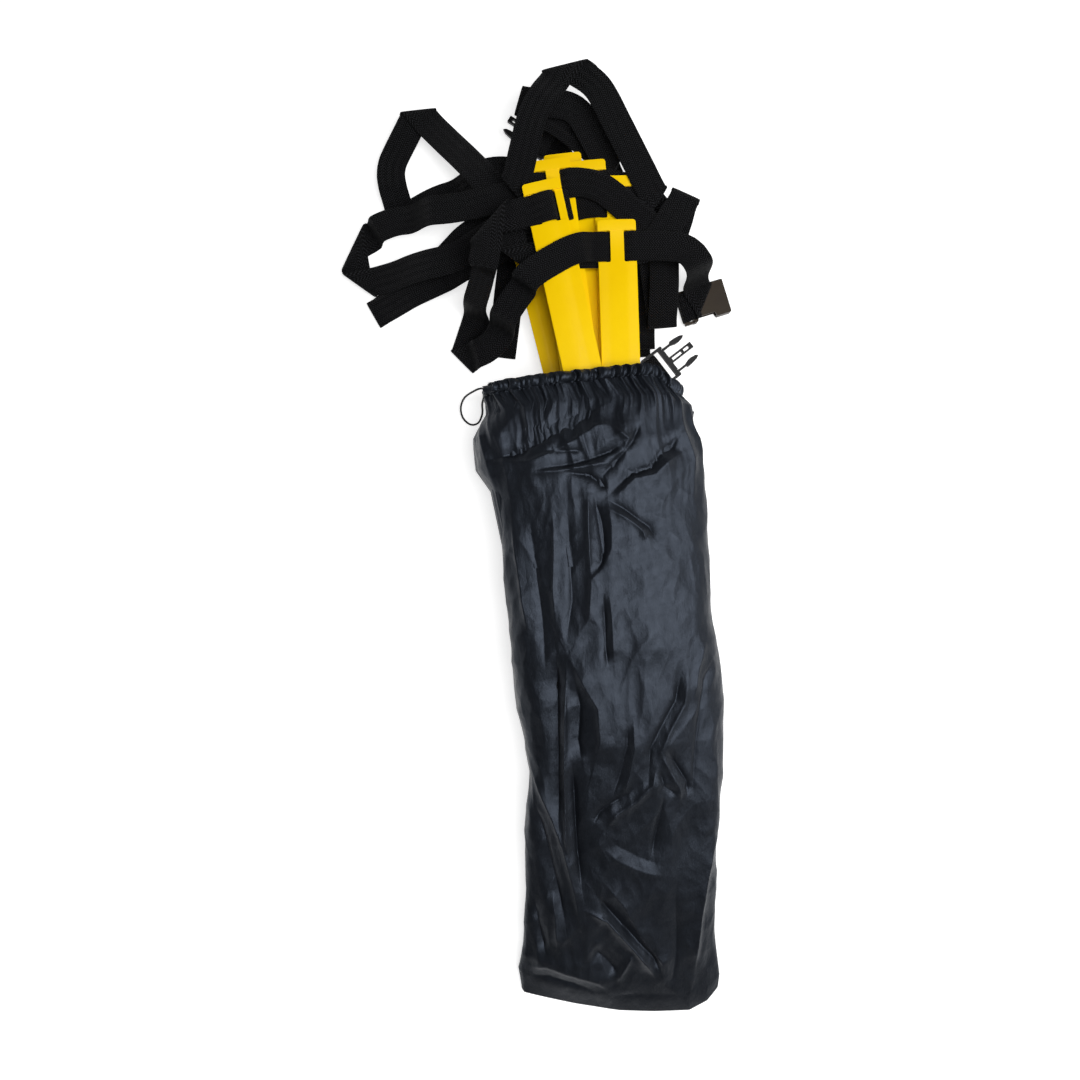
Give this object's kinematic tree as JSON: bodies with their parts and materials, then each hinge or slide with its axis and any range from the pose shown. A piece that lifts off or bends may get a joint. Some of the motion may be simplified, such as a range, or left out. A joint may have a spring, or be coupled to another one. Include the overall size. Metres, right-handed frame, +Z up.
{
  "type": "agility ladder",
  "caption": "Agility training ladder of flat plastic rungs on two webbing straps with side-release buckles, packed half out of its drawstring carry bag.",
  "frame": {"origin": "on the underside of the carry bag, on the floor, 311 mm from its closed end", "axes": "+Y from the bag's closed end to its mouth, along the packed rungs; +Z up"},
  "size_m": [0.3832, 0.9206, 0.069],
  "materials": {
    "yellow_plastic": "satin",
    "black_webbing": "woven",
    "black_plastic": "satin",
    "black_nylon": "woven",
    "black_cord": "braided"
  },
  "bodies": {
    "bag": {"bag_body": "black_nylon", "cord_channel": "black_nylon", "drawcord": "black_cord", "drawcord_loop": "black_cord"},
    "ladder": {"rung_01": "yellow_plastic", "rung_02": "yellow_plastic", "rung_03": "yellow_plastic", "rung_04": "yellow_plastic", "rung_05": "yellow_plastic", "rung_06": "yellow_plastic", "rung_07": "yellow_plastic", "rung_08": "yellow_plastic", "rung_09": "yellow_plastic", "rung_10": "yellow_plastic", "rung_11": "yellow_plastic", "rung_12": "yellow_plastic", "head_strap": "black_webbing", "foot_strap": "black_webbing", "head_socket": "black_plastic", "foot_socket": "black_plastic", "head_plug_frame": "black_plastic", "foot_plug_frame": "black_plastic"},
    "head_plug_left_arm": {"head_plug_left_arm": "black_plastic"},
    "head_plug_right_arm": {"head_plug_right_arm": "black_plastic"},
    "foot_plug_left_arm": {"foot_plug_left_arm": "black_plastic"},
    "foot_plug_right_arm": {"foot_plug_right_arm": "black_plastic"}
  },
  "joints": [
    {"name": "ladder_slide", "type": "slide", "parent": "bag", "child": "ladder", "axis": [0, 1, 0], "range_m": [0, 0.06]},
    {"name": "head_plug_left_arm_squeeze", "type": "hinge", "parent": "ladder", "child": "head_plug_left_arm", "pos_m": [-0.05047, 0.55479, 0.00436], "axis": [0, 0, 1], "range_deg": [-6, 0], "stiffness_Nm_per_rad": 0.3},
    {"name": "head_plug_right_arm_squeeze", "type": "hinge", "parent": "ladder", "child": "head_plug_right_arm", "pos_m": [-0.03571, 0.57497, 0.00436], "axis": [0, 0, 1], "range_deg": [0, 6], "stiffness_Nm_per_rad": 0.3},
    {"name": "foot_plug_left_arm_squeeze", "type": "hinge", "parent": "ladder", "child": "foot_plug_left_arm", "pos_m": [0.0722, 0.33579, 0.03001], "axis": [0, 0, 1], "range_deg": [-6, 0], "stiffness_Nm_per_rad": 0.3},
    {"name": "foot_plug_right_arm_squeeze", "type": "hinge", "parent": "ladder", "child": "foot_plug_right_arm", "pos_m": [0.08639, 0.3152, 0.03001], "axis": [0, 0, 1], "range_deg": [0, 6], "stiffness_Nm_per_rad": 0.3}
  ]
}
